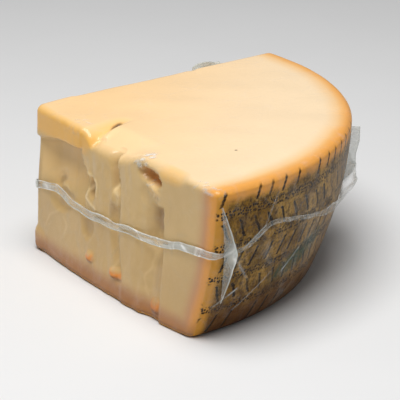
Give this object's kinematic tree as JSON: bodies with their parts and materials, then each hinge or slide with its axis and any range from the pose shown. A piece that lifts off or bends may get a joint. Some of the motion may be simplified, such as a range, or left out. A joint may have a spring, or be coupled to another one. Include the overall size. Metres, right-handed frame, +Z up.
{
  "type": "parmesan cheese chunk",
  "caption": "Large wedge of hard cheese with rind on its arc and foot, two broken faces and a flat cut top, sealed in tight clear film with a welded band.",
  "frame": {"origin": "centre of the bounding box's footprint, on the surface that the chunk stands on", "axes": "+Z up, +X from the tip towards the middle of the rind, +Y towards the back broken face"},
  "size_m": [0.2161, 0.3096, 0.1037],
  "materials": {
    "cheese": "waxy cheese paste and brown rind under tight glossy film",
    "film": "clear thin packing film, whitish and crinkled where it is welded or folded"
  },
  "bodies": {
    "root": {"cheese_chunk": "cheese", "film_seam": "film", "film_tab": "film"}
  },
  "joints": []
}
